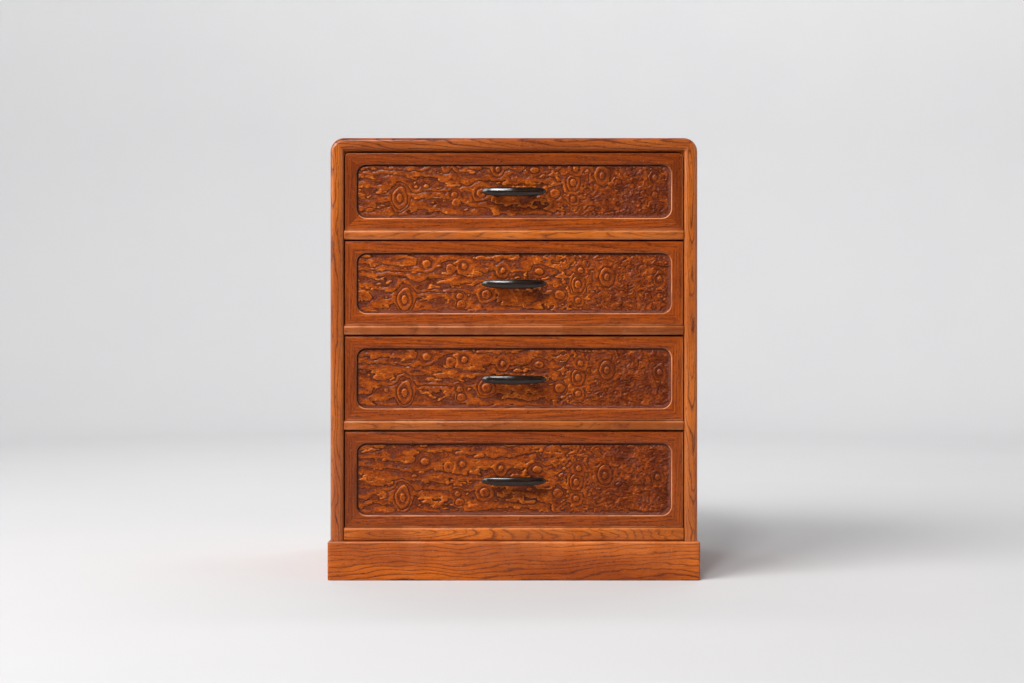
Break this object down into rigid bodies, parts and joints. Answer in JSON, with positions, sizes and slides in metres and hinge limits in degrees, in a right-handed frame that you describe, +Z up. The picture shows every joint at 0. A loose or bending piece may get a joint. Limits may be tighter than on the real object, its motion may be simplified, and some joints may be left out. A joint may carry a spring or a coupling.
{
  "type": "drawer chest",
  "caption": "Small upright drawer chest on a plinth, with rounded boards, framed burl drawer fronts, dark boat-shaped pulls and wooden runners",
  "frame": {"origin": "on the surface that the chest stands on, in the middle of its whole width and depth, pulls included", "axes": "+Z up, +X to the right of someone facing the drawers, -Y out of the front, the way the drawers open"},
  "size_m": [0.383, 0.286, 0.455],
  "materials": {
    "case_wood": "wiped lacquer over open-grained reddish-brown hardwood, satin to glossy",
    "front_wood": "wiped lacquer, darker and redder than the case, glossy",
    "burl": "figured burl with orange flames, dark lines and eyes, high gloss lacquer",
    "light_wood": "planed pale softwood, bare and matt",
    "ebony": "black close-grained hardwood, polished",
    "screw_brass": "turned, slightly tarnished",
    "screw_steel": "plain, dull"
  },
  "bodies": {
    "case": {"left_side_board": "case_wood", "right_side_board": "case_wood", "top_board": "case_wood", "back_panel": "light_wood", "bottom_board": "light_wood", "corner_fillets": "case_wood", "bottom_rail": "case_wood", "rail_1": "case_wood", "rail_2": "case_wood", "rail_3": "case_wood", "left_runners": "light_wood", "right_runners": "light_wood", "rear_rails": "light_wood", "dust_panel_1": "light_wood", "dust_panel_2": "light_wood", "dust_panel_3": "light_wood", "drawer_stops": "light_wood", "plinth_front": "case_wood", "plinth_left": "case_wood", "plinth_right": "case_wood", "plinth_back": "light_wood", "plinth_blocks": "light_wood", "plinth_screws": "screw_steel"},
    "drawer_1": {"drawer_1_frame": "front_wood", "drawer_1_burl_panel": "burl", "drawer_1_front_board": "front_wood", "drawer_1_left_side": "light_wood", "drawer_1_right_side": "light_wood", "drawer_1_back": "light_wood", "drawer_1_bottom": "light_wood", "drawer_1_pull": "ebony", "drawer_1_pull_screws": "screw_brass"},
    "drawer_2": {"drawer_2_frame": "front_wood", "drawer_2_burl_panel": "burl", "drawer_2_front_board": "front_wood", "drawer_2_left_side": "light_wood", "drawer_2_right_side": "light_wood", "drawer_2_back": "light_wood", "drawer_2_bottom": "light_wood", "drawer_2_pull": "ebony", "drawer_2_pull_screws": "screw_brass"},
    "drawer_3": {"drawer_3_frame": "front_wood", "drawer_3_burl_panel": "burl", "drawer_3_front_board": "front_wood", "drawer_3_left_side": "light_wood", "drawer_3_right_side": "light_wood", "drawer_3_back": "light_wood", "drawer_3_bottom": "light_wood", "drawer_3_pull": "ebony", "drawer_3_pull_screws": "screw_brass"},
    "drawer_4": {"drawer_4_frame": "front_wood", "drawer_4_burl_panel": "burl", "drawer_4_front_board": "front_wood", "drawer_4_left_side": "light_wood", "drawer_4_right_side": "light_wood", "drawer_4_back": "light_wood", "drawer_4_bottom": "light_wood", "drawer_4_pull": "ebony", "drawer_4_pull_screws": "screw_brass"}
  },
  "joints": [
    {"name": "drawer_1_slide", "type": "slide", "parent": "case", "child": "drawer_1", "axis": [0, -1, 0], "range_m": [0, 0.2]},
    {"name": "drawer_2_slide", "type": "slide", "parent": "case", "child": "drawer_2", "axis": [0, -1, 0], "range_m": [0, 0.2]},
    {"name": "drawer_3_slide", "type": "slide", "parent": "case", "child": "drawer_3", "axis": [0, -1, 0], "range_m": [0, 0.2]},
    {"name": "drawer_4_slide", "type": "slide", "parent": "case", "child": "drawer_4", "axis": [0, -1, 0], "range_m": [0, 0.2]}
  ]
}
